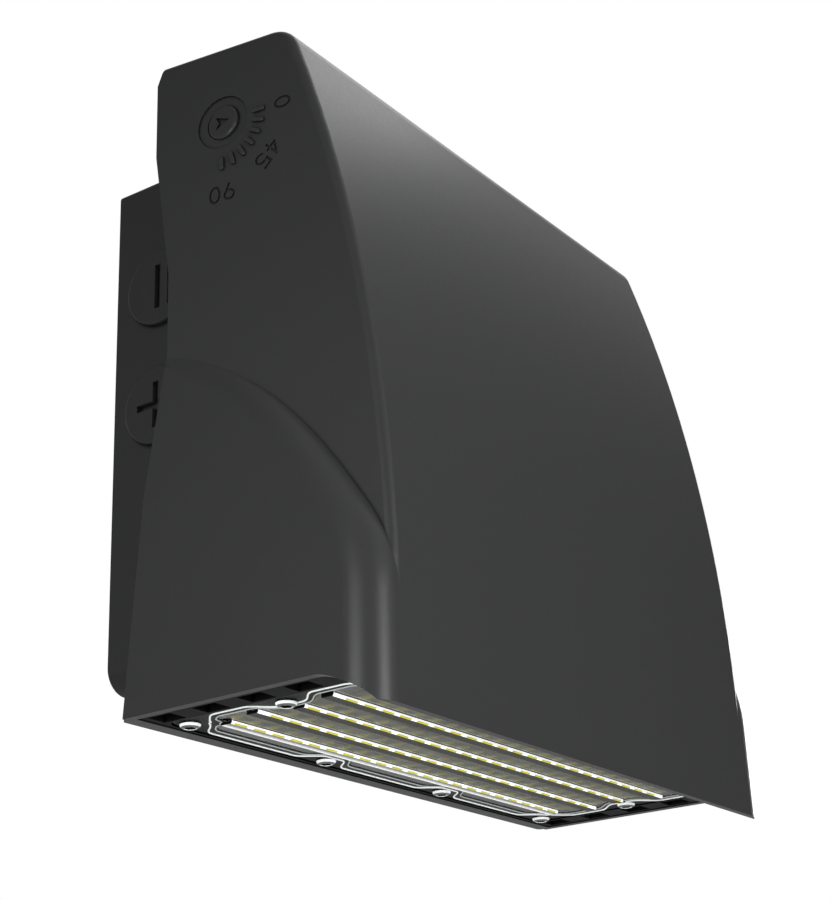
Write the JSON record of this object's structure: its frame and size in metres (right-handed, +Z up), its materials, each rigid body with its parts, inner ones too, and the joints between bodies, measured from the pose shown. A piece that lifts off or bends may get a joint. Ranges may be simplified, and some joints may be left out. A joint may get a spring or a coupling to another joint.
{
  "type": "adjustable wall pack light",
  "caption": "Outdoor wall light: a cast back box with plugged conduit entries carries a hooded LED head that tilts on side pivots with angle scales.",
  "frame": {"origin": "middle of the back box on the wall plane, at the centre of the wire opening and of the junction screw circle", "axes": "+Y into the wall, so the lamp faces -Y; +Z up; +X along the tilt axis, to the right of someone who faces the wall"},
  "size_m": [0.2384, 0.111, 0.2352],
  "materials": {
    "cast_coat": "textured powder coat",
    "steel_coat": "textured powder coat",
    "tray_coat": "satin black coat",
    "seal": "matte",
    "foam": "matte foam",
    "screw_dark": "black zinc",
    "screw_steel": "stainless",
    "board": "white solder mask",
    "chip": "phosphor over LED",
    "reflector_grey": "satin",
    "lens_clear": "clear polycarbonate",
    "driver_can": "satin",
    "block_white": "matte",
    "ground_green": "green zinc"
  },
  "bodies": {
    "wall_box": {"back_box": "cast_coat", "wall_seal": "foam", "cover_seal": "seal", "box_cover": "steel_coat", "cover_screws": "screw_dark", "tilt_arm_left": "cast_coat", "tilt_arm_right": "cast_coat", "arm_screws": "screw_dark", "friction_washer_left": "seal", "friction_washer_right": "seal", "pivot_cap_left": "cast_coat", "pivot_cap_right": "cast_coat", "slot_plug_left": "cast_coat", "slot_plug_right": "cast_coat", "cross_plug_left": "cast_coat", "cross_plug_right": "cast_coat", "terminal_block": "block_white", "ground_screw": "ground_green", "box_grommet": "seal"},
    "head": {"head_shell": "cast_coat", "rear_cover": "steel_coat", "rear_cover_screws": "screw_dark", "head_grommet": "seal", "light_tray": "tray_coat", "tray_screws": "screw_dark", "led_board": "board", "led_chips": "chip", "reflector": "reflector_grey", "lens_gasket": "seal", "lens": "lens_clear", "lens_screws": "screw_steel", "driver": "driver_can", "driver_screws": "screw_dark", "pivot_bush_left": "cast_coat", "pivot_bush_right": "cast_coat"}
  },
  "joints": [
    {"name": "head_tilt", "type": "hinge", "parent": "wall_box", "child": "head", "pos_m": [0, -0.052, 0.094], "axis": [-1, 0, 0], "range_deg": [0, 90]}
  ]
}
